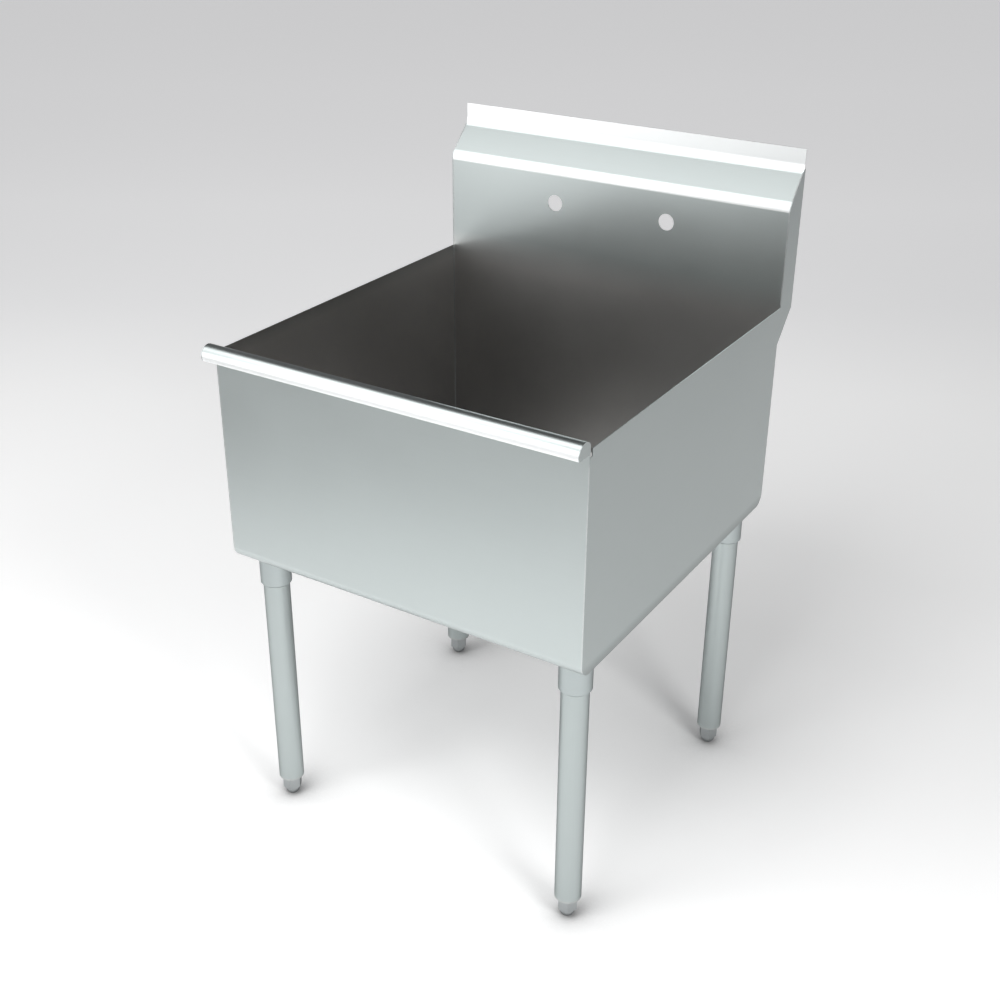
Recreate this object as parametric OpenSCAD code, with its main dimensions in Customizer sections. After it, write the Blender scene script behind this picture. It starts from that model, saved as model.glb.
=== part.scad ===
// Utility laundry sink: one deep bowl of folded stainless sheet on four tube legs.
// Millimetres. X runs left to right, Y front to back and Z up. The origin is on the floor,
// under the middle of the whole sink.

/* [Bowl] */
// Outside width of the bowl
bowl_w = 610; // [450:5:900]
// Outside depth of the bowl, from its front wall to its rear wall
bowl_d = 610; // [450:5:800]
// Height of the bowl, from the underside of its bottom up to the rim
bowl_h = 340; // [200:5:450]
// Height of the rim above the floor
rim_z = 810; // [700:5:950]
// Thickness of the sheet
sheet_t = 1.2; // [0.8:0.1:2]
// Outside radius of the folds in the sheet
bend_r = 20; // [10:1:28]

/* [Rolled rim] */
// Outside radius of the roll along the front
roll_r = 15; // [12:0.5:25]
// Angle of the roll, from the front wall round to its free edge
roll_deg = 205; // [180:5:250]
// Width of the relief notch behind the roll in each side panel
notch_w = 5; // [2:0.5:8]
// Depth of the relief notch below the rim
notch_h = 11; // [5:1:20]

/* [Splashback] */
// Height above the rim of the fold where the splashback slopes back
splash_h = 160; // [130:5:300]
// Reach from the face of the splashback to the wall behind it
splash_back = 47; // [30:1:80]
// Height of the upright flange along the top
flange_h = 31; // [15:1:60]
// Distance below the rim at which the rear edges of the end panels start to run in
end_drop = 11; // [0:1:60]
// Height over which those edges run in to the rear wall
end_slant = 50; // [20:1:100]

/* [Faucet holes] */
// Distance between the centres of the two faucet holes
faucet_spacing = 203.2; // [101.6:0.1:254]
// Diameter of each faucet hole
faucet_d = 27; // [20:0.5:36]
// Height of the faucet holes above the rim
faucet_up = 104; // [40:1:110]

/* [Legs] */
// Outside diameter of the leg tubes
leg_d = 41.3; // [32:0.1:50]
// Wall of the leg tubes
leg_wall = 1.5; // [1:0.1:3]
// Distance from the side of the bowl to a leg's axis
leg_inset_x = 36; // [34:1:120]
// Distance from the front or rear of the bowl to a leg's axis
leg_inset_y = 50; // [40:1:120]
// Height of the lower ends of the leg tubes above the floor
leg_up = 40; // [36:1:60]
// Width of the square mounting plates
plate_w = 60; // [56:1:90]
// Thickness of the mounting plates
plate_t = 4; // [2:0.5:8]
// Corner radius of the mounting plates
plate_corner_r = 10; // [3:1:20]

/* [Leg sockets] */
// Length of a socket below its plate
socket_l = 50; // [35:1:90]
// Wall of a socket
socket_wall = 3.4; // [2:0.1:6]
// Radial clearance between a leg and its socket
socket_fit = 0.35; // [0.1:0.05:0.8]
// Bevel round a socket's lower edge
socket_bevel = 2; // [0.5:0.5:2]
// Diameter of the set screws
set_screw_d = 8; // [5:0.5:10]
// Length of the set screws
set_screw_l = 8; // [6:0.5:14]
// Height of the set screws above the lower end of their sockets
set_screw_up = 15; // [10:1:24]
// Size across the flats of the hexagon hole in a set screw
set_screw_key = 4; // [2.5:0.5:5]

/* [Feet] */
// Length of the plug of a threaded insert inside its leg
insert_l = 23; // [15:1:40]
// Thickness of an insert's flange below its leg
insert_flange_t = 3; // [2:0.5:6]
// Radial clearance of an insert's plug in its leg
insert_fit = 0.1; // [0.05:0.05:0.3]
// Outside diameter of a foot's stem
stem_d = 16; // [10:0.5:20]
// Radial clearance of a stem in its insert and in its foot
stem_fit = 0.15; // [0.1:0.05:0.3]
// Distance that a foot screws out of its leg
foot_travel = 25; // [10:1:40]
// Length of stem that stays in the insert when a foot is screwed right out
stem_grip = 12; // [8:1:15]
// Size across the flats of a foot
foot_flats = 28; // [24:1:34]
// Height of the flats' lower edge above the floor
foot_flats_z = 13; // [10:1:18]
// Height of the round collar above the flats
foot_collar_h = 4; // [2:0.5:6]
// Radius of the round nose under a foot
nose_r = 12; // [10:0.5:14]
// Radius of the flat end of the nose, which stands on the floor
tip_r = 6; // [4:0.5:8]
// Gap between a foot and its insert when it is screwed right in
foot_gap = 0.3; // [0.2:0.1:1]

/* [Drain] */
// Diameter of the drain hole in the bowl's bottom
drain_hole_d = 90; // [88:1:100]
// Outside diameter of the drain's flange
drain_flange_d = 114; // [108:1:130]
// Thickness of the drain's flange
drain_flange_t = 2; // [1:0.5:3]
// Thickness of the sealing ring under the flange
putty_t = 1; // [0.5:0.5:2]
// Width of the sloping edge round the recess that holds the flange
recess_slope = 6; // [3:1:12]
// Inside diameter of the drain's cup
cup_d = 82; // [76:1:84]
// Depth of the drain's cup
cup_h = 42; // [36:1:60]
// Wall of the drain's cup and neck
cup_wall = 1.6; // [1:0.1:2]
// Inside diameter of the drain's neck
neck_d = 39; // [37:0.5:42]
// Length of the neck below the cup
neck_l = 25; // [18:1:40]
// Thickness of the rubber gasket under the bowl
gasket_t = 3; // [2:0.5:5]
// Thickness of the friction ring under the gasket
friction_t = 1; // [0.5:0.5:2]
// Distance of the gasket's edge inside the flange's
gasket_inset = 1; // [0:0.5:4]
// Thickness of the locknut
locknut_h = 12; // [8:1:16]
// Distance of the locknut's round edge inside the flange's
locknut_inset = 5; // [2:0.5:7]
// Number of lugs on the locknut
locknut_lugs = 8; // [4:1:12]
// Clearance between threaded rings and what they turn on
thread_fit = 0.15; // [0.1:0.05:0.3]

/* [Strainer basket] */
// Diameter of the basket's floor
basket_floor_d = 60; // [52:1:66]
// Thickness of the basket's sheet
basket_t = 1; // [0.6:0.1:1.5]
// Clearance between the basket's rim and the cup
basket_fit = 0.6; // [0.4:0.1:1.5]
// Distance from the flange's top down to the basket's rim
basket_down = 6; // [2:0.5:10]
// Diameter of the holes in the basket
basket_hole_d = 4.5; // [3:0.5:6]
// Gap left between the rubber seal and the cup's floor
seal_gap = 0.3; // [0.2:0.1:0.5]
// Thickness of the rubber seal under the basket
seal_t = 4; // [3:0.5:6]
// Diameter of the rubber seal
seal_d = 52; // [48:1:60]
// Radius of the post under the lift knob
post_r = 3.5; // [2.5:0.5:5]
// Diameter of the lift knob
knob_d = 20; // [14:1:26]
// Height of the lift knob
knob_h = 6; // [4:0.5:10]

/* [Tailpiece] */
// Outside diameter of the tailpiece
tail_d = 38.1; // [31.8:0.1:38.1]
// Wall of the tailpiece
tail_wall = 1; // [0.7:0.1:2]
// Length of the tailpiece below its flange
tail_l = 100; // [60:5:150]
// Length of the thicker root of the tailpiece under its flange
tail_root_l = 6; // [4:0.5:12]
// How far the root stands out from the tailpiece's tube
tail_root_step = 0.8; // [0.5:0.1:1.2]
// Thickness of the tailpiece's flange
tail_flange_t = 2; // [1:0.5:3]
// Thickness of the washer above the tailpiece
tail_washer_t = 1.5; // [1:0.5:3]
// Size across the flats of the coupling nut
nut_flats = 54; // [52:1:64]
// Length of the coupling nut over the neck
nut_grip = 12; // [8:1:18]
// Thickness of the coupling nut's lip under the tailpiece's flange
nut_lip_t = 3; // [2:0.5:5]

/* [Hidden] */
$fn = 96;
// Overrun of every cut past the faces it opens
over = 1;
left = -1;
right = 1;
front = -1;
rear = 1;

// Angle at which the splashback slopes back
slope_deg = 45;
// Inside radius of the folds
fold_in_r = bend_r - sheet_t;
// Unit step out of the slope's face, and how far before each fold's corner its arc starts
slope_normal = [-cos(slope_deg), sin(slope_deg)];
ridge_trim = bend_r * tan(slope_deg / 2);
valley_trim = fold_in_r * tan(slope_deg / 2);

// Main planes of the bowl and splashback
overall_d = bowl_d + splash_back + 2 * roll_r - 2 * sheet_t;
front_y = 2 * roll_r - sheet_t - overall_d / 2;
rear_y = front_y + bowl_d;
face_y = rear_y - sheet_t;
wall_y = face_y + splash_back;
bowl_y = (front_y + rear_y) / 2;
bottom_z = rim_z - bowl_h;
floor_z = bottom_z + sheet_t;
ridge_z = rim_z + splash_h;
valley_z = ridge_z + (splash_back - sheet_t) / tan(slope_deg);
top_z = valley_z + flange_h;
wrap_w = bowl_w - 2 * sheet_t;

// Centres of the arcs of the two folds at the ends of the slope, front to back and up
ridge_arc = [face_y + bend_r, ridge_z - ridge_trim];
valley_arc = [wall_y - bend_r, valley_z + valley_trim];

// Axis and free edge of the rolled rim
roll_y = front_y + sheet_t - roll_r;
roll_end_z = rim_z + roll_r * sin(roll_deg);

// Legs and their fittings
leg_x = bowl_w / 2 - leg_inset_x;
leg_r = leg_d / 2;
leg_top_z = bottom_z - plate_t;
socket_in_r = leg_r + socket_fit;
socket_r = socket_in_r + socket_wall;
socket_z = leg_top_z - socket_l;
set_screw_z = socket_z + set_screw_up;
set_screw_seat = 0.2;
set_screw_key_depth = set_screw_l / 2;
front_leg_y = front_y + leg_inset_y;
rear_leg_y = rear_y - leg_inset_y;

// Feet, from the floor up
insert_bore_r = stem_d / 2 + stem_fit;
insert_z = leg_up - insert_flange_t;
foot_top_z = insert_z - foot_gap;
foot_collar_z = foot_top_z - foot_collar_h;
foot_corner_r = foot_flats / 2 / cos(30);
foot_bevel = foot_corner_r - foot_flats / 2;
nose_z = sqrt(nose_r * nose_r - tip_r * tip_r);
stem_seat_z = foot_flats_z - foot_bevel;
stem_z = stem_seat_z + stem_fit;
stem_top_z = leg_up + foot_travel + stem_grip;
stem_bevel = stem_d / 8;

// Drain, from the bowl down
recess_depth = drain_flange_t + putty_t;
recess_z = bottom_z - recess_depth;
recess_r = drain_flange_d / 2 + sheet_t;
recess_top_r = recess_r + recess_slope;
recess_lap = 2 * sheet_t;
putty_z = recess_z + sheet_t;
drain_flange_z = floor_z - drain_flange_t;
cup_in_r = cup_d / 2;
cup_r = cup_in_r + cup_wall;
cup_floor_z = floor_z - cup_h;
cup_z = cup_floor_z - cup_wall;
neck_in_r = neck_d / 2;
neck_r = neck_in_r + 2 * cup_wall;
neck_z = cup_z - neck_l;
gasket_z = recess_z - gasket_t;
friction_z = gasket_z - friction_t;
locknut_z = friction_z - locknut_h;
gasket_r = drain_flange_d / 2 - gasket_inset;
locknut_r = drain_flange_d / 2 - locknut_inset;
ring_bore_r = cup_r + thread_fit;
lug_w = locknut_h;
lug_reach = locknut_h / 2;
lug_root = locknut_h / 4;

// Strainer basket, lying on its seal in the cup
seal_z = cup_floor_z + seal_gap;
basket_z = seal_z + seal_t;
basket_rim_z = floor_z - basket_down;
basket_rim_r = cup_in_r - basket_fit;
basket_wall_top_r = basket_rim_r - 3 * basket_t;
basket_floor_r = basket_floor_d / 2;
post_bore_r = post_r + thread_fit;
knob_z = floor_z - knob_h;
hole_step = 1.6 * basket_hole_d;
hole_rings = floor((basket_floor_r - basket_hole_d) / hole_step);
side_holes = floor(PI * basket_floor_d / hole_step / 1.5);

// Tailpiece and coupling nut
tail_r = tail_d / 2;
tail_washer_z = neck_z - tail_washer_t;
tail_flange_z = tail_washer_z - tail_flange_t;
tail_z = tail_flange_z - tail_l;
nut_z = tail_flange_z - nut_lip_t;
nut_top_z = neck_z + nut_grip;
nut_bore_r = neck_r + thread_fit;
tail_root_r = tail_r + tail_root_step;
nut_lip_r = tail_root_r + thread_fit;

// Colours
steel = [0.74, 0.77, 0.77];
tube_steel = [0.70, 0.74, 0.74];
foot_metal = [0.60, 0.63, 0.64];
dark_metal = [0.42, 0.43, 0.45];
brass = [0.71, 0.60, 0.34];
rubber = [0.10, 0.10, 0.11];
white_nylon = [0.86, 0.86, 0.83];
putty_grey = [0.62, 0.60, 0.55];
fibre_tan = [0.66, 0.55, 0.38];

// Name, side and end of each leg
CORNERS = [
    ["front_left", left, front],
    ["front_right", right, front],
    ["rear_left", left, rear],
    ["rear_right", right, rear]
];

// Stands a front-to-back outline upright and gives it a thickness towards +X.
module upright(x, thickness)
    translate([x, 0, 0]) rotate([90, 0, 90]) linear_extrude(height = thickness) children();

// A round solid from its half outline of radius and height.
module turned(outline)
    rotate_extrude() polygon(outline);

// A straight stretch of the bent sheet. What follows it starts at its end.
module stretch(length) {
    cube([length, sheet_t, wrap_w]);
    translate([length, 0, 0]) children();
}

// A fold of the sheet to the left hand on the way along it.
module fold_left(deg, in_r) {
    translate([0, sheet_t + in_r, 0]) rotate(-90)
        rotate_extrude(angle = deg) translate([in_r, 0]) square([sheet_t, wrap_w]);
    translate([0, sheet_t + in_r, 0]) rotate(deg) translate([0, -sheet_t - in_r, 0]) children();
}

// A fold of the sheet to the right hand.
module fold_right(deg, in_r) {
    translate([0, -in_r, 0]) rotate(90 - deg)
        rotate_extrude(angle = deg) translate([in_r, 0]) square([sheet_t, wrap_w]);
    translate([0, -in_r, 0]) rotate(-deg) translate([0, in_r, 0]) children();
}

// The bent sheet, followed from the height of the rim at the rear to the free edge of the roll.
module bent_sheet()
    translate([-wrap_w / 2, 0, 0]) rotate([90, 0, 90])
        translate([face_y, rim_z, 0]) rotate(-90)
            stretch(bowl_h - bend_r)
            fold_right(90, fold_in_r)
            stretch(bowl_d - 2 * bend_r)
            fold_right(90, fold_in_r)
            stretch(bowl_h - bend_r)
            fold_left(roll_deg, roll_r - sheet_t);

// A rounded corner: the pie between two tangent points, filled up to the fold's arc.
module rounded_corner(centre, r, tangent_a, corner, tangent_b)
    intersection() {
        translate(centre) circle(r = r);
        polygon([centre, tangent_a, corner, tangent_b]);
    }

// All that lies behind the splashback's face, or behind a surface that far inside its sheet.
module behind_splash(inset, beyond) {
    ridge_r = bend_r - inset;
    valley_r = fold_in_r + inset;
    y_low = ridge_arc.x - ridge_r;
    y_high = valley_arc.x + valley_r;
    ridge_upper = ridge_arc + ridge_r * slope_normal;
    valley_lower = valley_arc - valley_r * slope_normal;
    difference() {
        union() {
            polygon([
                [y_low, rim_z - beyond],
                [y_low, ridge_arc.y],
                ridge_upper,
                valley_lower,
                [y_high, valley_arc.y],
                [y_high, top_z + beyond],
                [wall_y + over, top_z + beyond],
                [wall_y + over, rim_z - beyond]
            ]);
            rounded_corner(ridge_arc, ridge_r, ridge_upper,
                [y_low, ridge_arc.y + ridge_r * tan(slope_deg / 2)], [y_low, ridge_arc.y]);
        }
        rounded_corner(valley_arc, valley_r, valley_lower,
            [y_high, valley_arc.y - valley_r * tan(slope_deg / 2)], [y_high, valley_arc.y]);
    }
}

// The splashback, its slope and the rear flange, from the height of the rim up.
module splash_sheet()
    upright(-wrap_w / 2, wrap_w) difference() {
        behind_splash(0, 0);
        behind_splash(sheet_t, over);
    }

// The recess pressed round the drain hole, with an outer edge that laps into the flat bottom.
module drain_recess()
    translate([0, bowl_y, 0]) turned([
        [drain_hole_d / 2, recess_z],
        [recess_r, recess_z],
        [recess_top_r, bottom_z],
        [recess_top_r + recess_lap, bottom_z],
        [recess_top_r + recess_lap, floor_z],
        [recess_top_r, floor_z],
        [recess_r, putty_z],
        [drain_hole_d / 2, putty_z]
    ]);

// The holes for the faucet through the splashback.
module faucet_holes()
    for (side = [left, right])
        translate([side * faucet_spacing / 2, face_y - over, rim_z + faucet_up]) rotate([-90, 0, 0])
            cylinder(d = faucet_d, h = sheet_t + 2 * over);

// Front roll, front wall, bottom, rear wall, splashback, slope and flange in one bent sheet.
module bowl_wrap()
    color(steel) difference() {
        union() {
            difference() {
                bent_sheet();
                translate([0, bowl_y, bottom_z - over]) cylinder(r = recess_top_r, h = sheet_t + 2 * over);
            }
            splash_sheet();
            drain_recess();
        }
        faucet_holes();
    }

// Outline of a side panel, front to back and up. It closes the bowl and the splashback's end.
module panel_outline() {
    arc_z = bottom_z + bend_r;
    front_arc = [front_y + bend_r, arc_z];
    rear_arc = [rear_y - bend_r, arc_z];
    ridge_upper = ridge_arc + bend_r * slope_normal;
    difference() {
        union() {
            polygon([
                [front_y, rim_z],
                [front_y, arc_z],
                [front_arc.x, bottom_z],
                [rear_arc.x, bottom_z],
                [rear_y, arc_z],
                [rear_y, rim_z - end_drop - end_slant],
                [wall_y, rim_z - end_drop],
                [wall_y, ridge_z + splash_back / tan(slope_deg)],
                ridge_upper,
                [face_y, ridge_arc.y],
                [face_y, rim_z]
            ]);
            rounded_corner(front_arc, bend_r, [front_y, arc_z], [front_y, bottom_z], [front_arc.x, bottom_z]);
            rounded_corner(rear_arc, bend_r, [rear_arc.x, bottom_z], [rear_y, bottom_z], [rear_y, arc_z]);
            rounded_corner(ridge_arc, bend_r, ridge_upper, [face_y, ridge_z], [face_y, ridge_arc.y]);
        }
        translate([front_y - over, rim_z - notch_h]) square([notch_w + over, notch_h + over]);
    }
}

module left_side_panel()
    color(steel) upright(-bowl_w / 2, sheet_t) panel_outline();

module right_side_panel()
    color(steel) upright(bowl_w / 2 - sheet_t, sheet_t) panel_outline();

// Outline of the cap that closes an end of the rolled rim.
module cap_outline()
    intersection() {
        translate([roll_y, rim_z]) circle(r = roll_r);
        translate([roll_y - roll_r, roll_end_z]) square([front_y - roll_y + roll_r, 2 * roll_r]);
    }

module left_rim_cap()
    color(steel) upright(-bowl_w / 2, sheet_t) cap_outline();

module right_rim_cap()
    color(steel) upright(bowl_w / 2 - sheet_t, sheet_t) cap_outline();

// Moves what is made for a leg to its corner, with +X turned to the middle of the sink.
module at_leg(side, end)
    translate([side * leg_x, end == front ? front_leg_y : rear_leg_y, 0])
        rotate(side == right ? 180 : 0) children();

// Square plate with round corners, welded under the bowl to carry a socket.
module leg_plate(side, end) {
    straight = plate_w - 2 * plate_corner_r;
    color(steel) at_leg(side, end) translate([0, 0, leg_top_z]) linear_extrude(height = plate_t) {
        square([plate_w, straight], center = true);
        square([straight, plate_w], center = true);
        for (x = [-straight / 2, straight / 2], y = [-straight / 2, straight / 2])
            translate([x, y]) circle(r = plate_corner_r);
    }
}

// Socket that takes the top of a leg, bevelled below and tapped on its wall side for a set screw.
module leg_socket(side, end)
    color(tube_steel) at_leg(side, end) difference() {
        turned([
            [socket_in_r, socket_z],
            [socket_r - socket_bevel, socket_z],
            [socket_r, socket_z + socket_bevel],
            [socket_r, leg_top_z],
            [socket_in_r, leg_top_z]
        ]);
        rotate(-side * 90) translate([0, 0, set_screw_z]) rotate([0, 90, 0])
            cylinder(d = set_screw_d + 2 * thread_fit, h = socket_r + over);
    }

// Set screws of all four sockets, facing the wall, with a hexagon hole in each outer end.
module socket_set_screws()
    color(dark_metal) for (corner = CORNERS)
        at_leg(corner[1], corner[2]) rotate(-corner[1] * 90)
            translate([leg_r + set_screw_seat, 0, set_screw_z]) rotate([0, 90, 0]) difference() {
                cylinder(d = set_screw_d, h = set_screw_l);
                translate([0, 0, set_screw_l - set_screw_key_depth])
                    cylinder(d = set_screw_key / cos(30), h = set_screw_key_depth + over, $fn = 6);
            }

// Tube from the threaded insert up to the mounting plate.
module leg_tube(side, end)
    color(tube_steel) at_leg(side, end) turned([
        [leg_r - leg_wall, leg_up],
        [leg_r, leg_up],
        [leg_r, leg_top_z],
        [leg_r - leg_wall, leg_top_z]
    ]);

// Threaded insert pressed into the lower end of a leg.
module foot_insert(side, end) {
    plug_r = leg_r - leg_wall - insert_fit;
    color(white_nylon) at_leg(side, end) turned([
        [insert_bore_r, insert_z],
        [leg_r, insert_z],
        [leg_r, leg_up],
        [plug_r, leg_up],
        [plug_r, leg_up + insert_l],
        [insert_bore_r, leg_up + insert_l]
    ]);
}

// Threaded stem that carries a foot in its insert.
module foot_stem(side, end)
    color(dark_metal) at_leg(side, end) turned([
        [0, stem_z],
        [stem_d / 2, stem_z],
        [stem_d / 2, stem_top_z - stem_bevel],
        [stem_d / 2 - stem_bevel, stem_top_z],
        [0, stem_top_z]
    ]);

// Foot with a round nose, six flats for a spanner and a round collar.
module foot(side, end)
    color(foot_metal) at_leg(side, end) difference() {
        union() {
            intersection() {
                translate([0, 0, nose_z]) sphere(r = nose_r);
                cylinder(r = nose_r, h = foot_flats_z);
            }
            intersection() {
                translate([0, 0, foot_flats_z])
                    cylinder(r = foot_corner_r, h = foot_collar_z - foot_flats_z, $fn = 6);
                turned([
                    [0, foot_flats_z],
                    [foot_flats / 2, foot_flats_z],
                    [foot_corner_r, foot_flats_z + foot_bevel],
                    [foot_corner_r, foot_collar_z],
                    [0, foot_collar_z]
                ]);
            }
            translate([0, 0, foot_collar_z]) cylinder(d = foot_flats + foot_bevel, h = foot_collar_h);
        }
        translate([0, 0, stem_seat_z]) cylinder(r = insert_bore_r, h = foot_top_z);
    }

// Moves what is made for the drain to the middle of the bowl.
module at_drain()
    translate([0, bowl_y, 0]) children();

// Drain body: flange, cup and outlet neck.
module drain_body()
    color(steel) at_drain() turned([
        [cup_in_r, floor_z],
        [drain_flange_d / 2 - drain_flange_t / 2, floor_z],
        [drain_flange_d / 2, floor_z - drain_flange_t / 2],
        [drain_flange_d / 2, drain_flange_z],
        [cup_r, drain_flange_z],
        [cup_r, cup_z],
        [neck_r, cup_z],
        [neck_r, neck_z],
        [neck_in_r, neck_z],
        [neck_in_r, cup_floor_z],
        [cup_in_r, cup_floor_z]
    ]);

// A flat ring from its lower face up.
module flat_ring(in_r, out_r, z, thickness)
    at_drain() translate([0, 0, z]) difference() {
        cylinder(r = out_r, h = thickness);
        translate([0, 0, -over]) cylinder(r = in_r, h = thickness + 2 * over);
    }

module drain_seal_ring()
    color(putty_grey) flat_ring(drain_hole_d / 2, drain_flange_d / 2, putty_z, putty_t);

module drain_gasket()
    color(rubber) flat_ring(ring_bore_r, gasket_r, gasket_z, gasket_t);

module drain_friction_ring()
    color(fibre_tan) flat_ring(ring_bore_r, locknut_r, friction_z, friction_t);

// Locknut that pulls the drain down on the bowl, with lugs for a spanner.
module drain_locknut()
    color(brass) at_drain() translate([0, 0, locknut_z]) difference() {
        union() {
            cylinder(r = locknut_r, h = locknut_h);
            for (i = [0 : locknut_lugs - 1])
                rotate(i * 360 / locknut_lugs) translate([ring_bore_r + lug_root, -lug_w / 2, 0])
                    cube([locknut_r + lug_reach - ring_bore_r - lug_root, lug_w, locknut_h]);
        }
        translate([0, 0, -over]) cylinder(r = ring_bore_r, h = locknut_h + 2 * over);
    }

// Perforated basket with a flared rim.
module strainer_basket()
    color(steel) at_drain() difference() {
        turned([
            [post_bore_r, basket_z],
            [basket_floor_r, basket_z],
            [basket_wall_top_r, basket_rim_z - basket_t],
            [basket_rim_r, basket_rim_z - basket_t],
            [basket_rim_r, basket_rim_z],
            [basket_wall_top_r - basket_t, basket_rim_z],
            [basket_floor_r - basket_t, basket_z + basket_t],
            [post_bore_r, basket_z + basket_t]
        ]);
        for (ring = [1 : hole_rings], i = [0 : 6 * ring - 1])
            rotate(i * 60 / ring) translate([ring * hole_step, 0, basket_z - over])
                cylinder(d = basket_hole_d, h = basket_t + 2 * over);
        for (i = [0 : side_holes - 1])
            rotate(i * 360 / side_holes)
                translate([basket_floor_r - basket_t, 0, (basket_z + basket_rim_z) / 2]) rotate([0, 90, 0])
                    cylinder(d = basket_hole_d, h = basket_rim_r - basket_floor_r + basket_t);
    }

// Rubber disc under the basket that closes the outlet.
module basket_seal()
    color(rubber) flat_ring(post_bore_r, seal_d / 2, seal_z, seal_t);

// Lift knob on a post that holds the basket and its seal together.
module basket_knob()
    color(steel) at_drain() turned([
        [0, seal_z],
        [post_r, seal_z],
        [post_r, knob_z - knob_d / 8],
        [knob_d / 2, knob_z],
        [knob_d / 2, floor_z - knob_h / 2],
        [knob_d / 3, floor_z],
        [0, floor_z]
    ]);

// Flanged tube that leads down to the trap.
module tailpiece()
    color(steel) at_drain() turned([
        [tail_r - tail_wall, tail_z],
        [tail_r, tail_z],
        [tail_r, tail_flange_z - tail_root_l],
        [tail_root_r, tail_flange_z - tail_root_l],
        [tail_root_r, tail_flange_z],
        [neck_r - thread_fit, tail_flange_z],
        [neck_r - thread_fit, tail_washer_z],
        [tail_r - tail_wall, tail_washer_z]
    ]);

module tailpiece_washer()
    color(white_nylon) flat_ring(neck_in_r, neck_r - thread_fit, tail_washer_z, tail_washer_t);

// Nut that holds the tailpiece to the neck.
module coupling_nut()
    color(brass) at_drain() difference() {
        translate([0, 0, nut_z]) cylinder(d = nut_flats / cos(30), h = nut_top_z - nut_z, $fn = 6);
        translate([0, 0, nut_z - over]) cylinder(r = nut_lip_r, h = nut_lip_t + 2 * over);
        translate([0, 0, tail_flange_z]) cylinder(r = nut_bore_r, h = nut_top_z - tail_flange_z + over);
    }

bowl_wrap();
left_side_panel();
right_side_panel();
left_rim_cap();
right_rim_cap();
socket_set_screws();
for (corner = CORNERS) {
    leg_plate(corner[1], corner[2]);
    leg_socket(corner[1], corner[2]);
    leg_tube(corner[1], corner[2]);
    foot_insert(corner[1], corner[2]);
    foot_stem(corner[1], corner[2]);
    foot(corner[1], corner[2]);
}
drain_body();
drain_seal_ring();
drain_gasket();
drain_friction_ring();
drain_locknut();
strainer_basket();
basket_seal();
basket_knob();
tailpiece();
tailpiece_washer();
coupling_nut();
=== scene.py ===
import math

import bmesh
import bpy
from mathutils import Matrix, Vector


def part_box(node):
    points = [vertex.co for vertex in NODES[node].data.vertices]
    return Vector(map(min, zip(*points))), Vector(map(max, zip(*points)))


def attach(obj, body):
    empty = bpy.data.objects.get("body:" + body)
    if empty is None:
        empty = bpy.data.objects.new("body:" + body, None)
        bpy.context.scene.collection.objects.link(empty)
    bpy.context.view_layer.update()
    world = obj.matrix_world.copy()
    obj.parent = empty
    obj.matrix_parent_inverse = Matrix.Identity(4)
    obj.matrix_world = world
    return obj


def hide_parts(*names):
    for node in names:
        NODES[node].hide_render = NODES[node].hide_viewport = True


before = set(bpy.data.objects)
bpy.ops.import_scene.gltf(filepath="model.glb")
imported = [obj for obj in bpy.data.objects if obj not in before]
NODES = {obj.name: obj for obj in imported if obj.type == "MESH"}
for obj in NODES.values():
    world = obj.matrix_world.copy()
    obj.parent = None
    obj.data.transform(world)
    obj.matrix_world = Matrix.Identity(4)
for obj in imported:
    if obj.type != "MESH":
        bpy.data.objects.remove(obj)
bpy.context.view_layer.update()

CORNERS = ["_" + e + "_" + s for e in ("front", "rear") for s in ("left", "right")]

# The sheet's main sizes, in metres
RECESS = 0.003  # how far the drain's seat is sunk below the bowl's flat bottom
BOWL_H = 0.340
BOWL_D = 0.610
BEND = 0.020  # outer radius of the bends
SPLASH = 0.160  # from the rim up to the splashback's fold
RETURN_UP = 0.0445  # from that fold up to about where the flange starts

wrap_lo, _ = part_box("bowl_wrap")
side_lo, side_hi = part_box("right_side_panel")
BOTTOM = wrap_lo.z + RECESS
RIM = BOTTOM + BOWL_H
FOLD = RIM + SPLASH
FRONT, REAR = side_lo.y, side_lo.y + BOWL_D
SHEET_T = side_hi.x - side_lo.x
FACE = REAR - SHEET_T
WALL = side_hi.y


# Node helpers
def new_material(name):
    mat = bpy.data.materials.new(name)
    mat.use_nodes = True
    tree = mat.node_tree
    tree.nodes.clear()
    out = tree.nodes.new("ShaderNodeOutputMaterial")
    shader = tree.nodes.new("ShaderNodeBsdfPrincipled")
    tree.links.new(shader.outputs["BSDF"], out.inputs["Surface"])
    return mat, tree, shader


def coords(tree, scale):
    source = tree.nodes.new("ShaderNodeTexCoord")
    mapping = tree.nodes.new("ShaderNodeMapping")
    mapping.inputs["Scale"].default_value = scale
    tree.links.new(source.outputs["Object"], mapping.inputs["Vector"])
    return mapping.outputs["Vector"]


def noise(tree, scale, detail, rough):
    node = tree.nodes.new("ShaderNodeTexNoise")
    node.inputs["Scale"].default_value = 1.0
    node.inputs["Detail"].default_value = detail
    node.inputs["Roughness"].default_value = rough
    tree.links.new(coords(tree, scale), node.inputs["Vector"])
    return node.outputs["Fac"]


def remap(tree, value, low, high, start=0.3, stop=0.7):
    """Goes from low to high while the value goes from start to stop, a noise's usual span."""
    node = tree.nodes.new("ShaderNodeMapRange")
    node.inputs["From Min"].default_value = start
    node.inputs["From Max"].default_value = stop
    node.inputs["To Min"].default_value = low
    node.inputs["To Max"].default_value = high
    tree.links.new(value, node.inputs["Value"])
    return node.outputs["Result"]


def math_node(tree, kind, a, b):
    node = tree.nodes.new("ShaderNodeMath")
    node.operation = kind
    for socket, value in zip(node.inputs, (a, b)):
        if isinstance(value, float):
            socket.default_value = value
        else:
            tree.links.new(value, socket)
    return node.outputs["Value"]


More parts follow.
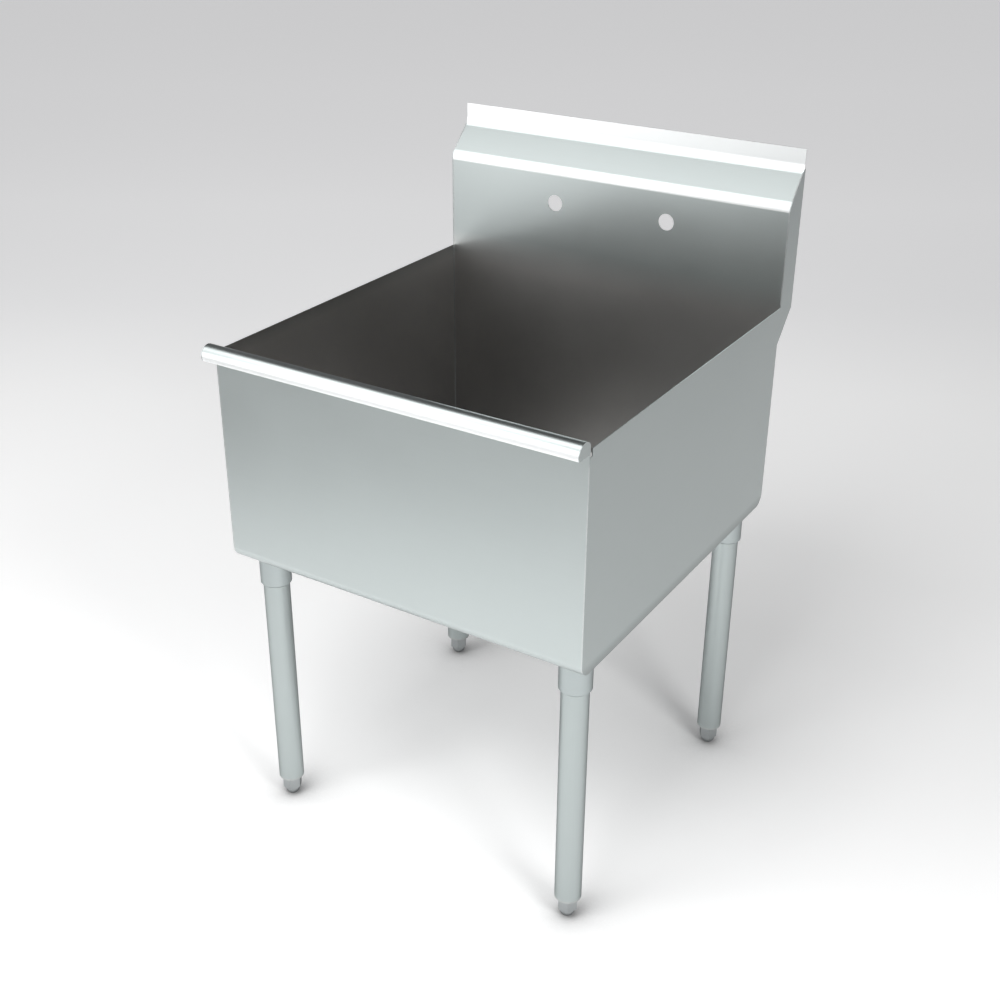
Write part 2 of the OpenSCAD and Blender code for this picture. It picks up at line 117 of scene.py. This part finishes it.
def weighed(tree, first, second, share):
    """The sum of two values, of which the first has the share and the second has the rest."""
    return math_node(tree, "ADD", math_node(tree, "MULTIPLY", first, share),
                     math_node(tree, "MULTIPLY", second, 1.0 - share))


def ramp(tree, value, stops):
    node = tree.nodes.new("ShaderNodeValToRGB")
    while len(node.color_ramp.elements) < len(stops):
        node.color_ramp.elements.new(0.5)
    for element, (place, colour) in zip(node.color_ramp.elements, stops):
        element.position = place
        element.color = (*colour, 1.0)
    tree.links.new(value, node.inputs["Fac"])
    return node.outputs["Color"]


def bump(tree, height, distance):
    node = tree.nodes.new("ShaderNodeBump")
    node.inputs["Distance"].default_value = distance
    node.inputs["Strength"].default_value = 1.0
    tree.links.new(height, node.inputs["Height"])
    return node.outputs["Normal"]


def mixed(tree, amount, first, second):
    """Goes from the first colour to the second, which may be plain."""
    node = tree.nodes.new("ShaderNodeMix")
    node.data_type = "RGBA"
    tree.links.new(amount, node.inputs["Factor"])
    tree.links.new(first, node.inputs[6])
    if isinstance(second, tuple):
        node.inputs[7].default_value = (*second, 1.0)
    else:
        tree.links.new(second, node.inputs[7])
    return node.outputs[2]


def between(tree, value, low, high, soft):
    """1 where the value lies between low and high, falling to 0 over the soft width outside."""
    rise = remap(tree, value, 0.0, 1.0, low - soft, low)
    fall = remap(tree, value, 1.0, 0.0, high, high + soft)
    return math_node(tree, "MULTIPLY", rise, fall)


def place_axes(tree):
    source = tree.nodes.new("ShaderNodeTexCoord")
    split = tree.nodes.new("ShaderNodeSeparateXYZ")
    tree.links.new(source.outputs["Object"], split.inputs["Vector"])
    return split.outputs


def inner_places(tree):
    """The inside of the bowl up to its rim, which gets a warmer tint with painted shade."""
    source = tree.nodes.new("ShaderNodeTexCoord")
    inward = tree.nodes.new("ShaderNodeVectorMath")
    inward.operation = "SUBTRACT"
    inward.inputs[0].default_value = (0.0, (FRONT + REAR) / 2, (BOTTOM + RIM) / 2)
    tree.links.new(source.outputs["Object"], inward.inputs[1])
    facing = tree.nodes.new("ShaderNodeVectorMath")
    facing.operation = "DOT_PRODUCT"
    tree.links.new(inward.outputs["Vector"], facing.inputs[0])
    tree.links.new(source.outputs["Normal"], facing.inputs[1])
    inside = math_node(tree, "GREATER_THAN", facing.outputs["Value"], 0.0)
    low = remap(tree, place_axes(tree)[2], 1.0, 0.0, RIM - 0.02, RIM + 0.03)
    return math_node(tree, "MULTIPLY", inside, low)


def painted_highlight_places(tree):
    """The rolled rim's outer side and the splashback's two folds, where a highlight is painted
    into the colour.
    """
    _, y, z = place_axes(tree)
    bands = [  # low and high Y with its soft width, then the same for Z
        (FRONT - 0.09, FRONT - 0.0015, 0.001, RIM - 0.03, RIM + 0.005, 0.003),
        (FACE - 0.008, FACE + 0.007, 0.002, FOLD - 0.009, FOLD - 0.0005, 0.002),
        (WALL - 0.009, WALL + 0.005, 0.001, FOLD + RETURN_UP, FOLD + 0.09, 0.002),
    ]
    roll, ridge, valley = [
        math_node(tree, "MULTIPLY", between(tree, y, y_lo, y_hi, y_soft),
                  between(tree, z, z_lo, z_hi, z_soft))
        for y_lo, y_hi, y_soft, z_lo, z_hi, z_soft in bands]
    return math_node(tree, "MAXIMUM", roll, math_node(tree, "MAXIMUM", ridge, valley))


def scaled(colour, factor):
    return tuple(min(1.0, c * factor) for c in colour)


# What the finishes share. The tints of the inside follow the tones in the photograph
SHEET = (0.542, 0.59, 0.585)
# Painted highlight: how light the sheet is made on the rolled rim and the two folds
HIGHLIGHT_TINT = (0.93, 0.95, 0.95)
# Painted shade inside the bowl: this colour at the rim, the next at the bottom
INNER = (0.79, 0.78, 0.764)
INNER_LOW = (0.475, 0.470, 0.462)
LEAST_FLECK = 0.008  # tint change that even the plainest sheet shows
STREAK_SHARE = 0.55  # of the mottling, the rest being clouds
DRIED_SPOT = 0.02  # roughness that a spot adds
HIGHLIGHT_BAND_ROUGH = 0.14  # and that a rolled fold adds
# Painted shade under the bottom and round its bends
UNDER_SHADE = 0.74  # tint of the bottom and its bends
# Painted shade inside the bowl towards the right
RIGHT_SHADE, RIGHT_AMOUNT = 0.6, 0.42  # darker towards the right, by up to this amount


def inner_painted_shade(tree, tint, colour):
    """Paints shade: darkens the bottom, and gives the inside a warmer tint with painted shade,
    lightest at the rim's left and darker towards the bottom and the right.
    """
    x, _, z = place_axes(tree)
    # Painted shade: the bottom and its bends are darker
    below = remap(tree, z, 1.0, 0.0, BOTTOM + 0.003, BOTTOM + 0.018)
    tint = mixed(tree, below, tint, scaled(colour, UNDER_SHADE))
    # Painted shade inside: lighter at the rim, darker at the bottom and towards the right
    height = remap(tree, z, 0.0, 1.0, BOTTOM, RIM)
    inner_shade = ramp(tree, height, [(0.0, INNER_LOW), (1.0, INNER)])
    rightward = remap(tree, x, 0.0, RIGHT_AMOUNT, -0.06, 0.28)
    inner_shade = mixed(tree, rightward, inner_shade, scaled(INNER_LOW, RIGHT_SHADE))
    return mixed(tree, inner_places(tree), tint, inner_shade)


def steel(name, colour, rough, grain, grain_bump=0.00001, cloud=0.03, highlight_bands=None,
          brushed=0.0, inside=False, edge=None, streaks=0.03):
    """Satin metal: fine grain along one direction, cloudy handling marks and dried spots."""
    mat, tree, shader = new_material(name)
    shader.inputs["Metallic"].default_value = 1.0
    if edge is not None:
        shader.inputs["Specular Tint"].default_value = (edge, edge, edge, 1.0)
    streak = noise(tree, grain, 3.0, 0.6)
    clouds = noise(tree, (7.0, 7.0, 7.0), 3.0, 0.5)
    specks = noise(tree, (90.0, 90.0, 90.0), 2.0, 0.5)
    fleck = LEAST_FLECK + streaks
    tint = ramp(tree, weighed(tree, streak, clouds, STREAK_SHARE),
                [(0.30, scaled(colour, 1.0 - fleck)), (0.50, colour),
                 (0.70, scaled(colour, 1.0 + fleck))])
    if inside:
        # Painted shade inside the bowl and under its bottom
        tint = inner_painted_shade(tree, tint, colour)
    gloss = math_node(tree, "ADD", remap(tree, clouds, rough - cloud, rough + cloud),
                      remap(tree, streak, -streaks, streaks))
    if highlight_bands is not None:
        # Painted highlight: the rolled rim and folds are lightened, and made a little rougher
        painted_shine = highlight_bands(tree)
        tint = mixed(tree, painted_shine, tint, HIGHLIGHT_TINT)
        gloss = math_node(tree, "ADD", gloss, math_node(tree, "MULTIPLY", painted_shine, HIGHLIGHT_BAND_ROUGH))
    tree.links.new(tint, shader.inputs["Base Color"])
    spots = remap(tree, specks, 0.0, DRIED_SPOT, 0.60, 0.72)
    tree.links.new(math_node(tree, "ADD", gloss, spots), shader.inputs["Roughness"])
    tree.links.new(bump(tree, streak, grain_bump), shader.inputs["Normal"])
    if brushed > 0.0:
        # The grain runs along X, so the gloss spreads round X
        shader.inputs["Anisotropic"].default_value = brushed
        tangent = tree.nodes.new("ShaderNodeTangent")
        tangent.direction_type = "RADIAL"
        tangent.axis = "X"
        tree.links.new(tangent.outputs["Tangent"], shader.inputs["Tangent"])
    return mat


def plain(name, colour, rough, grain, depth, metallic=0.0, spread=0.12):
    """Moulded, cast or pressed stuff: mottled colour, uneven roughness and a fine bump."""
    mat, tree, shader = new_material(name)
    shader.inputs["Metallic"].default_value = metallic
    shader.inputs["Specular IOR Level"].default_value = 0.5
    fine = noise(tree, (grain, grain, grain), 4.0, 0.6)
    coarse = noise(tree, (40.0, 40.0, 40.0), 2.0, 0.5)
    tint = ramp(tree, weighed(tree, fine, coarse, 0.5),
                [(0.3, scaled(colour, 1.0 - spread)), (0.7, scaled(colour, 1.0 + spread))])
    tree.links.new(tint, shader.inputs["Base Color"])
    tree.links.new(remap(tree, coarse, rough - 0.06, rough + 0.06), shader.inputs["Roughness"])
    tree.links.new(bump(tree, fine, depth), shader.inputs["Normal"])
    return mat


# How fine the grain is along X, Y and Z. Name, colour, roughness and grain come first below
along_x = (5.0, 900.0, 900.0)
along_y = (900.0, 5.0, 900.0)
along_z = (700.0, 700.0, 6.0)
round_z = (120.0, 120.0, 1500.0)
M = {
    # The wrap has a painted highlight on its roll and folds, and painted shade inside
    "wrap": steel("sheet_grain_across", SHEET, 0.296, along_x, grain_bump=0.000001, cloud=0.012,
                  highlight_bands=painted_highlight_places, brushed=0.4, inside=True, streaks=0.004),
    # Painted shade: the side panels and rim caps are the same sheet at 0.82 of its colour
    "side": steel("sheet_grain_along", scaled(SHEET, 0.82), 0.31, along_y, cloud=0.02,
                  inside=True, streaks=0.012),
    "weld": plain("weld_bead", (0.56, 0.58, 0.58), 0.36, 700.0, depth=0.00012,
                  metallic=1.0, spread=0.16),
    "seam": plain("seam_dressed", (0.64, 0.66, 0.66), 0.38, 700.0, depth=0.00004,
                  metallic=1.0, spread=0.05),
    "plate": steel("plate_mill_finish", (0.50, 0.53, 0.53), 0.42, along_y,
                   grain_bump=0.00003, cloud=0.08),
    "socket": steel("socket_turned", (0.447, 0.491, 0.491), 0.34, round_z,
                    grain_bump=0.00003, edge=0.45),
    "tube": steel("tube_drawn", (0.452, 0.496, 0.492), 0.315, along_z, cloud=0.02,
                  edge=0.45, streaks=0.015),
    "screw": plain("screw_blackened", (0.07, 0.07, 0.075), 0.45, 900.0, depth=0.00005,
                   metallic=1.0, spread=0.25),
    "stem": steel("stem_zinc", (0.60, 0.62, 0.64), 0.36, round_z),
    "foot": steel("foot_turned", (0.405, 0.425, 0.43), 0.36, round_z,
                  grain_bump=0.00003, edge=0.45),
    "nylon": plain("nylon_insert", (0.44, 0.46, 0.455), 0.48, 400.0, depth=0.00004,
                   spread=0.05),
    "drain": steel("drain_polished", (0.70, 0.71, 0.71), 0.20, round_z, streaks=0.015),
    "basket": steel("basket_polished", (0.70, 0.71, 0.71), 0.22, round_z, cloud=0.02,
                    streaks=0.01),
    "tail": steel("tailpiece_plated", (0.72, 0.73, 0.74), 0.18, along_z,
                  grain_bump=0.000008, cloud=0.04, streaks=0.02),
    "brass": plain("brass_rough", (0.62, 0.47, 0.22), 0.40, 500.0, depth=0.00008,
                   metallic=1.0, spread=0.14),
    "rubber": plain("rubber_black", (0.030, 0.030, 0.032), 0.72, 600.0, depth=0.00006,
                    spread=0.25),
    "putty": plain("putty_ring", (0.48, 0.45, 0.39), 0.80, 300.0, depth=0.0001),
    "fibre": plain("fibre_ring", (0.45, 0.33, 0.20), 0.75, 800.0, depth=0.00008, spread=0.2),
}
WORN = {
    "bowl_wrap": "wrap", "left_side_panel": "side", "right_side_panel": "side",
    "left_rim_cap": "side", "right_rim_cap": "side", "socket_set_screws": "screw",
    "drain_body": "drain", "drain_seal_ring": "putty", "drain_gasket": "rubber",
    "drain_friction_ring": "fibre", "drain_locknut": "brass", "strainer_basket": "basket",
    "basket_seal": "rubber", "basket_knob": "basket", "tailpiece": "tail",
    "tailpiece_washer": "nylon", "coupling_nut": "brass",
}
for c in CORNERS:
    WORN.update({"leg_plate" + c: "plate", "leg_socket" + c: "socket", "leg_tube" + c: "tube",
                 "foot_insert" + c: "nylon", "foot_stem" + c: "stem", "foot" + c: "foot"})
for node, obj in NODES.items():
    obj.data.materials.clear()
    obj.data.materials.append(M[WORN[node]])


# Pieces that the solids leave out: thread forms and dressed weld beads
def piece(name, verts, faces, material, body, smooth=True):
    mesh = bpy.data.meshes.new(name)
    mesh.from_pydata(verts, [], faces)
    bm = bmesh.new()
    bm.from_mesh(mesh)
    bmesh.ops.recalc_face_normals(bm, faces=bm.faces)
    bm.to_mesh(mesh)
    bm.free()
    for face in mesh.polygons:
        face.use_smooth = smooth
    mesh.materials.append(M[material])
    obj = bpy.data.objects.new(name, mesh)
    bpy.context.scene.collection.objects.link(obj)
    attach(obj, body)
    return obj


def joined(name, parts, material, body, smooth=True):
    verts, faces = [], []
    for v, f in parts:
        base = len(verts)
        verts += [tuple(p) for p in v]
        faces += [tuple(i + base for i in face) for face in f]
    return piece(name, verts, faces, material, body, smooth)


def ridge_wave(turns):
    """A thread's flank, from 0 in the root to 1 at the crest, with small flats at both."""
    part = turns % 1.0
    return min(1.0, max(0.0, 1.35 * abs(2.0 * part - 1.0) - 0.17))


def turned(centre, z0, z1, pitch, around, per_pitch, radius):
    """Rows of points round a vertical axis. The radius depends on the height and the wave."""
    rows = int((z1 - z0) / pitch * per_pitch)
    verts = []
    for i in range(rows + 1):
        z = z0 + (z1 - z0) * i / rows
        for j in range(around):
            a = 2 * math.pi * j / around
            r = radius(z, ridge_wave((z - z0) / pitch - j / around))
            verts.append((centre[0] + r * math.cos(a), centre[1] + r * math.sin(a), z))
    faces = []
    for i in range(rows):
        for j in range(around):
            k = (j + 1) % around
            faces.append((i * around + j, i * around + k, (i + 1) * around + k,
                          (i + 1) * around + j))
    return verts, faces


def threaded_rod(centre, r, z0, z1, pitch, depth, bevel, around=48, per_pitch=8):
    """A closed rod whose side is one helical thread, with bevelled ends."""
    def radius(z, wave):
        limit = r - max(0.0, bevel - min(z - z0, z1 - z))
        return min(limit, r - depth * (1.0 - wave))

    verts, faces = turned(centre, z0, z1, pitch, around, per_pitch, radius)
    for base, z in ((0, z0), (len(verts) - around, z1)):
        verts.append((centre[0], centre[1], z))
        tip = len(verts) - 1
        faces += [(base + j, base + (j + 1) % around, tip) for j in range(around)]
    return verts, faces


def thread_band(centre, r, z0, z1, pitch, depth, around=96, per_pitch=6):
    """A thread that stands proud of a plain neck and fades into it at both ends."""
    sunk = 0.0002

    def radius(z, wave):
        fade = min(1.0, min(z - z0, z1 - z) / pitch)
        return r - sunk + (depth + sunk) * fade * wave

    return turned(centre, z0, z1, pitch, around, per_pitch, radius)


def bead(path, r, ripple, pitch, closed=False, sides=10):
    """A weld bead: a tube along the path whose size ripples a little, as laid metal does."""
    path = [Vector(p) for p in path]
    fine = []
    count = len(path) if closed else len(path) - 1
    for i in range(count):
        a, b = path[i], path[(i + 1) % len(path)]
        steps = max(1, int((b - a).length / pitch))
        fine += [a.lerp(b, k / steps) for k in range(steps)]
    if not closed:
        fine.append(path[-1])
    n = len(fine)
    verts, faces = [], []
    for i, p in enumerate(fine):
        before = fine[i - 1] if (i > 0 or closed) else p
        after = fine[(i + 1) % n] if (i < n - 1 or closed) else p
        along = (after - before).normalized()
        side = along.cross(Vector((0.31, 0.17, 0.93))).normalized()
        other = along.cross(side).normalized()
        rr = r * (1.0 + ripple * math.sin(i * 2.1) + 0.5 * ripple * math.sin(i * 0.37))
        if not closed and i in (0, n - 1):
            rr *= 0.4
        for j in range(sides):
            t = 2 * math.pi * j / sides
            verts.append(p + side * rr * math.cos(t) + other * rr * math.sin(t))
    for i in range(n if closed else n - 1):
        for j in range(sides):
            a, b = i * sides, ((i + 1) % n) * sides
            faces.append((a + j, a + (j + 1) % sides, b + (j + 1) % sides, b + j))
    if not closed:
        faces.append(tuple(range(sides)))
        faces.append(tuple((n - 1) * sides + j for j in reversed(range(sides))))
    return verts, faces


def arc(cy, cz, r, start, stop, steps=8):
    """Points of an arc seen from the side, with angles in degrees from +Y towards +Z."""
    turns = [math.radians(start + (stop - start) * k / steps) for k in range(steps + 1)]
    return [(cy + r * math.cos(t), cz + r * math.sin(t)) for t in turns]


def at_x(x, path):
    return [(x, y, z) for y, z in path]


# Dressed seams where the folded sheet meets the side panels
SEAM_R, SEAM_IN, SEAM_IN_X = 0.00115, 0.0010, 0.00125  # radius, then how deep its middle lies
INNER_R, BACK_R = 0.0011, 0.0013
PROUD, BACK_PROUD = 0.0002, 0.0004  # how far these lie off the sheet
zb = BOTTOM + BEND
inner_front = FRONT + SHEET_T + PROUD
outer = [(FRONT + 0.0030, RIM - 0.0205), (FRONT + SEAM_IN, RIM - 0.0215), (FRONT + SEAM_IN, zb)]
outer += arc(FRONT + BEND, zb, BEND - SEAM_IN, 180, 270)[1:]
outer += arc(REAR - BEND, zb, BEND - SEAM_IN, 270, 360)
outer += [(REAR - SEAM_IN, RIM - 0.062)]
upper = [(FACE + SEAM_IN, RIM + 0.001)]
upper += arc(FACE + BEND, FOLD - BEND * math.tan(math.radians(22.5)), BEND - SEAM_IN, 180, 135)
upper += [(WALL - 0.002, FOLD + RETURN_UP)]
inner = [(inner_front, RIM - 0.005), (inner_front, zb)]
inner += arc(FRONT + BEND, zb, BEND - SHEET_T - PROUD, 180, 270)[1:]
inner += arc(REAR - BEND, zb, BEND - SHEET_T - PROUD, 270, 360)
inner += [(FACE - PROUD, RIM - 0.001)]
back = [(REAR + BACK_PROUD, RIM - 0.059), (REAR + BACK_PROUD, RIM + 0.13)]
for side, name in ((-1, "left"), (1, "right")):
    x_out = side * (side_hi.x - SEAM_IN_X)
    x_in = side * (side_lo.x - PROUD)
    joined("seam_outer_" + name,
           [bead(at_x(x_out, path), SEAM_R, ripple=0.03, pitch=0.004, sides=12)
            for path in (outer, upper)],
           "seam", "sink")
    joined("seam_inner_" + name,
           [bead(at_x(x_in, inner), INNER_R, ripple=0.05, pitch=0.004, sides=8),
            bead(at_x(x_in, back), BACK_R, ripple=0.1, pitch=0.003, sides=8)],
           "weld", "sink")

# Fillet welds round each leg plate and socket
FILLET_R, FILLET_OFF, FILLET_DOWN = 0.0019, 0.0005, 0.0008
PLATE_CORNER_R = 0.010
for c in CORNERS:
    lo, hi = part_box("leg_plate" + c)
    mid = (lo + hi) / 2
    reach = (hi.x - lo.x) / 2 - PLATE_CORNER_R
    loop = []
    for cx, cy, start in ((1, 1, 0), (-1, 1, 90), (-1, -1, 180), (1, -1, 270)):
        for k in range(7):
            t = math.radians(start + 15 * k)
            loop.append((mid.x + cx * reach + (PLATE_CORNER_R + FILLET_OFF) * math.cos(t),
                         mid.y + cy * reach + (PLATE_CORNER_R + FILLET_OFF) * math.sin(t),
                         hi.z - FILLET_DOWN))
    slo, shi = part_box("leg_socket" + c)
    ring_r = (shi.x - slo.x) / 2 + FILLET_OFF
    ring = []
    for k in range(60):
        t = math.radians(6 * k)
        ring.append((mid.x + ring_r * math.cos(t), mid.y + ring_r * math.sin(t),
                     shi.z - FILLET_DOWN))
    joined("weld" + c,
           [bead(path, FILLET_R, ripple=0.12, pitch=0.0018, closed=True)
            for path in (loop, ring)],
           "weld", "sink")

# Threaded stems of the feet
STEM_PITCH, STEM_DEPTH, STEM_BEVEL = 0.002, 0.0011, 0.002
for c in CORNERS:
    lo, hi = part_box("foot_stem" + c)
    mid = (lo + hi) / 2
    verts, faces = threaded_rod((mid.x, mid.y), (hi.x - lo.x) / 2, lo.z, hi.z,
                                STEM_PITCH, STEM_DEPTH, STEM_BEVEL)
    stem = piece("threaded_stem" + c, verts, faces, "stem", "stem" + c,
                 smooth=False)
    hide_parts("foot_stem" + c)

# Threads of the drain's cup and neck
CUP_R, CUP_UP, CUP_PITCH = 0.0426, 0.0275, 0.0021
NECK_R, NECK_UP, NECK_PITCH = 0.0227, 0.0243, 0.0017
DRAIN_DEPTH, NUT_LAP = 0.0005, 0.001
d_lo, d_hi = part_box("drain_body")
n_lo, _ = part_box("drain_locknut")
_, t_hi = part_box("coupling_nut")
axis = ((d_lo.x + d_hi.x) / 2, (d_lo.y + d_hi.y) / 2)
joined("drain_threads",
       [thread_band(axis, CUP_R, d_lo.z + CUP_UP, n_lo.z + NUT_LAP, CUP_PITCH, DRAIN_DEPTH),
        thread_band(axis, NECK_R, t_hi.z - NUT_LAP, d_lo.z + NECK_UP, NECK_PITCH, DRAIN_DEPTH,
                    around=72)],
       "drain", "sink", smooth=False)


# Camera at the photograph's viewing angle
FOCAL_PIXELS, PICTURE_PIXELS, SENSOR_MM = 1388.02, 1000.0, 36.0
CAMERA_PLACE = (1.02169, -1.67020, 1.53352)
yaw, pitch, roll = 0.55798, 0.47815, 0.00604
cam = bpy.data.cameras.new("camera")
cam_obj = bpy.data.objects.new("camera", cam)
bpy.context.scene.collection.objects.link(cam_obj)
bpy.context.scene.camera = cam_obj
cam.sensor_fit = "AUTO"
cam.sensor_width = SENSOR_MM
cam.lens = FOCAL_PIXELS * SENSOR_MM / PICTURE_PIXELS
forward = Vector((-math.sin(yaw) * math.cos(pitch), math.cos(yaw) * math.cos(pitch),
                  -math.sin(pitch)))
right = Vector((math.cos(yaw), math.sin(yaw), 0.0))
up = right.cross(forward)
right_r = right * math.cos(roll) + up * math.sin(roll)
up_r = -right * math.sin(roll) + up * math.cos(roll)
turn = Matrix((right_r, up_r, -forward)).transposed().to_4x4()
cam_obj.matrix_world = Matrix.Translation(CAMERA_PLACE) @ turn
cam.clip_end = 50.0


# Floor and light
FLOOR_HALF = 18.0
FLOOR_WHITE = 0.88
MIRRORED_DIM = -0.68  # what the metal's view of the floor loses in a band before the sink
SWEEP = [(0.0, (0.20, 0.20, 0.20)), (0.10, (0.22, 0.22, 0.22)), (0.17, (0.26, 0.26, 0.26)),
         (0.27, (0.29, 0.29, 0.29)), (0.40, (0.30, 0.30, 0.305)), (0.6, (0.37, 0.37, 0.375)),
         (1.0, (0.40, 0.40, 0.405))]


def floor():
    """White round the sink, and a pale grey far behind it."""
    mesh = bpy.data.meshes.new("floor")
    half = FLOOR_HALF
    mesh.from_pydata([(-half, -half, 0), (half, -half, 0), (half, half, 0), (-half, half, 0)],
                     [], [(0, 1, 2, 3)])
    obj = bpy.data.objects.new("floor", mesh)
    bpy.context.scene.collection.objects.link(obj)
    mat, tree, shader = new_material("floor_pale")
    shader.inputs["Roughness"].default_value = 0.9
    shader.inputs["Specular IOR Level"].default_value = 0.1
    # The sweep follows the distance from the camera, which looks along -X and +Y
    x, y, _ = place_axes(tree)
    away = math_node(tree, "ADD", math_node(tree, "MULTIPLY", x, -0.53),
                     math_node(tree, "MULTIPLY", y, 0.848))
    sweep = ramp(tree, remap(tree, away, 0.0, 1.0, 0.0, 6.0), SWEEP)
    # The metal sees the floor dimmer in a band before the sink, and white again beyond it
    skew = math_node(tree, "ADD", math_node(tree, "MULTIPLY", x, 0.35), 0.35)
    near = remap(tree, math_node(tree, "ADD", y, skew), 0.0, 1.0, -1.8, -0.85)
    near = math_node(tree, "MAXIMUM", near, remap(tree, y, 1.0, 0.0, -3.0, -2.2))
    # Deeper shade on the floor where a foot stands
    contact = tree.nodes.new("ShaderNodeAmbientOcclusion")
    contact.samples = 8
    contact.inputs["Distance"].default_value = 0.30
    shade = remap(tree, contact.outputs["AO"], 0.36, 1.0, 0.52, 0.975)
    glow = tree.nodes.new("ShaderNodeEmission")
    tree.links.new(sweep, glow.inputs["Color"])
    path = tree.nodes.new("ShaderNodeLightPath")
    glossy = path.outputs["Is Glossy Ray"]
    mirrored = math_node(tree, "MULTIPLY", glossy, near)
    dim = math_node(tree, "MULTIPLY", math_node(tree, "SUBTRACT", glossy, mirrored),
                    MIRRORED_DIM)
    white = math_node(tree, "ADD", dim, FLOOR_WHITE)
    tree.links.new(math_node(tree, "MULTIPLY", white, shade), shader.inputs["Base Color"])
    seen = math_node(tree, "MULTIPLY", path.outputs["Is Camera Ray"],
                     remap(tree, away, 3.1, 1.0, -4.0, -0.8))
    mirrored = math_node(tree, "MULTIPLY", mirrored, remap(tree, away, 2.0, 1.0, -4.0, -0.8))
    strength = math_node(tree, "MAXIMUM", seen, mirrored)
    tree.links.new(math_node(tree, "MULTIPLY", strength, shade), glow.inputs["Strength"])
    both = tree.nodes.new("ShaderNodeAddShader")
    out = next(n for n in tree.nodes if n.bl_idname == "ShaderNodeOutputMaterial")
    tree.links.new(shader.outputs["BSDF"], both.inputs[0])
    tree.links.new(glow.outputs["Emission"], both.inputs[1])
    tree.links.new(both.outputs["Shader"], out.inputs["Surface"])
    mesh.materials.append(mat)


floor()


def lamp(name, place, target, size, energy):
    data = bpy.data.lights.new(name, "AREA")
    data.shape = "RECTANGLE"
    data.size, data.size_y = size
    data.energy = energy
    obj = bpy.data.objects.new(name, data)
    bpy.context.scene.collection.objects.link(obj)
    obj.location = place
    obj.rotation_euler = (Vector(target) - Vector(place)).to_track_quat("-Z", "Y").to_euler()
    obj.visible_camera = False
    return obj


lamp("key_over_slope", (-1.0, -0.93, 2.75), (-1.0, 0.22, 0.95), (2.8, 1.55), 29.0)
lamp("low_front_left", (-1.55, -2.60, 1.35), (0.0, -0.3, 1.15), (1.4, 2.3), 17.0)
# A card that only the metal sees closes the gap between those two in the rolled rim
card = lamp("roll_card", (-1.22, -2.25, 2.12), (0.0, -0.33, 0.82), (1.6, 0.9), 5.0)
card.visible_diffuse = False
# These light the floor, and the metal doesn't mirror them
for name, place, size, energy in (("overhead", (0.0, -1.65, 3.0), 1.3, 37.0),
                                  ("floor_left", (-1.1, -1.9, 2.2), 0.7, 9.0),
                                  ("floor_right", (2.1, -1.0, 2.2), 0.8, 30.0)):
    floor_light = lamp(name, place, (0.1, 0.0, 0.0), (size, size), energy)
    floor_light.visible_glossy = False

# The world is darker overhead and behind the sink, and plain pale grey in the camera's view
BACKDROP = (0.60, 0.60, 0.605)
world = bpy.data.worlds.new("world")
bpy.context.scene.world = world
world.use_nodes = True
wt = world.node_tree
wt.nodes.clear()
w_out = wt.nodes.new("ShaderNodeOutputWorld")
w_bg = wt.nodes.new("ShaderNodeBackground")
w_co = wt.nodes.new("ShaderNodeTexCoord")
w_sep = wt.nodes.new("ShaderNodeSeparateXYZ")
wt.links.new(w_co.outputs["Generated"], w_sep.inputs["Vector"])
w_up = ramp(wt, w_sep.outputs["Z"], [
    (0.0, (0.9, 0.9, 0.9)), (0.25, (0.7, 0.7, 0.71)), (0.5, (0.4, 0.4, 0.41)),
    (0.8, (0.16, 0.16, 0.16)), (1.0, (0.15, 0.15, 0.15))])
w_back = remap(wt, w_sep.outputs["Y"], 1.0, 0.22, -0.2, 0.5)
w_col = wt.nodes.new("ShaderNodeVectorMath")
w_col.operation = "SCALE"
wt.links.new(w_up, w_col.inputs[0])
wt.links.new(w_back, w_col.inputs["Scale"])
w_path = wt.nodes.new("ShaderNodeLightPath")
w_seen = mixed(wt, w_path.outputs["Is Camera Ray"], w_col.outputs["Vector"], BACKDROP)
wt.links.new(w_seen, w_bg.inputs["Color"])
wt.links.new(w_bg.outputs["Background"], w_out.inputs["Surface"])

bpy.context.scene.view_settings.view_transform = "Standard"
